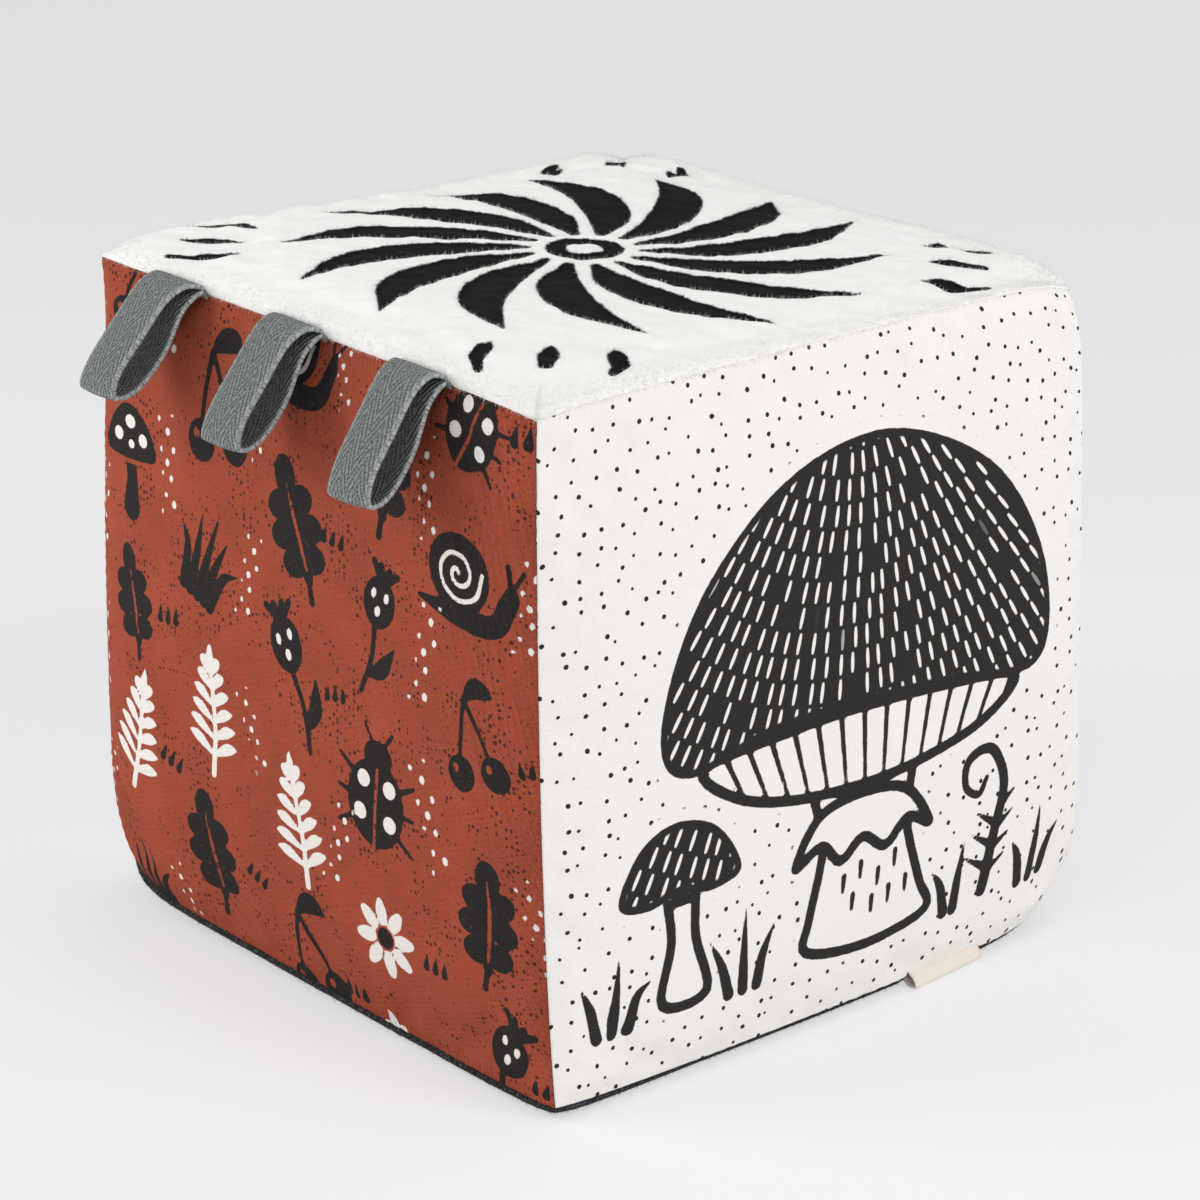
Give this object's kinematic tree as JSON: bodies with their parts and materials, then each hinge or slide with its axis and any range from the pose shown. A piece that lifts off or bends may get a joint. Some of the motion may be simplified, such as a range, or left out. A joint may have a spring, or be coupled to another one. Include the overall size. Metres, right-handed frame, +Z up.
{
  "type": "soft fabric block",
  "caption": "Soft cube for a baby: sewn cloth panels over a foam core with a rattle inside, ribbon loops along one top seam and a label tab at the foot.",
  "frame": {"origin": "centre of the flat base, on the surface that the block stands on", "axes": "+Z up; the dotted front panel faces -Y; the panel under the ribbon loops faces -X"},
  "size_m": [0.1842, 0.1671, 0.1555],
  "materials": {
    "dotted_cotton": "matte",
    "rust_twill": "matte",
    "plush": "matte",
    "charcoal_felt": "matte",
    "grey_tape": "matte",
    "cream_tape": "matte",
    "foam": "matte",
    "thread": "satin",
    "film": "satin",
    "rattle_plastic": "gloss",
    "bead_plastic": "gloss"
  },
  "bodies": {
    "block": {"front_panel": "dotted_cotton", "right_panel": "rust_twill", "back_panel": "dotted_cotton", "left_panel": "rust_twill", "top_panel": "plush", "bottom_panel": "charcoal_felt", "foam_core_lower": "foam", "foam_core_upper": "foam", "crinkle_film": "film", "thread_front_left": "thread", "thread_front_right": "thread", "thread_back_right": "thread", "thread_back_left": "thread", "thread_front_top": "thread", "thread_right_top": "thread", "thread_back_top": "thread", "thread_left_top": "thread", "thread_front_bottom": "thread", "thread_right_bottom": "thread", "thread_left_bottom": "thread", "closing_thread_back_bottom": "thread", "ribbon_loop_tail_1": "grey_tape", "ribbon_loop_tail_2": "grey_tape", "ribbon_loop_tail_3": "grey_tape", "label_tab_tail": "cream_tape", "rattle_shell_lower": "rattle_plastic", "rattle_shell_upper": "rattle_plastic"},
    "loop_1": {"ribbon_loop_1": "grey_tape"},
    "loop_2": {"ribbon_loop_2": "grey_tape"},
    "loop_3": {"ribbon_loop_3": "grey_tape"},
    "label": {"label_tab": "cream_tape"},
    "bead_1": {"rattle_bead_1": "bead_plastic"},
    "bead_2": {"rattle_bead_2": "bead_plastic"},
    "bead_3": {"rattle_bead_3": "bead_plastic"}
  },
  "joints": [
    {"name": "loop_1_bend", "type": "hinge", "parent": "block", "child": "loop_1", "pos_m": [-0.07704, -0.04119, 0.1535], "axis": [0, 1, 0], "range_deg": [-20, 130], "stiffness_Nm_per_rad": 0.0005},
    {"name": "loop_2_bend", "type": "hinge", "parent": "block", "child": "loop_2", "pos_m": [-0.07675, 0.00098, 0.1535], "axis": [0, 1, 0], "range_deg": [-20, 130], "stiffness_Nm_per_rad": 0.0005},
    {"name": "loop_3_bend", "type": "hinge", "parent": "block", "child": "loop_3", "pos_m": [-0.07707, 0.04315, 0.15349], "axis": [0, 1, 0], "range_deg": [-20, 130], "stiffness_Nm_per_rad": 0.0005},
    {"name": "label_bend", "type": "hinge", "parent": "block", "child": "label", "pos_m": [0.03581, -0.08111, 0.0019], "axis": [-1, 0, 0], "range_deg": [0, 80], "stiffness_Nm_per_rad": 0.0001},
    {"name": "bead_1_hop", "type": "slide", "parent": "block", "child": "bead_1", "axis": [0, 0, 1], "range_m": [0, 0.0096]},
    {"name": "bead_2_hop", "type": "slide", "parent": "block", "child": "bead_2", "axis": [0, 0, 1], "range_m": [0, 0.0096]},
    {"name": "bead_3_hop", "type": "slide", "parent": "block", "child": "bead_3", "axis": [0, 0, 1], "range_m": [0, 0.0096]}
  ]
}
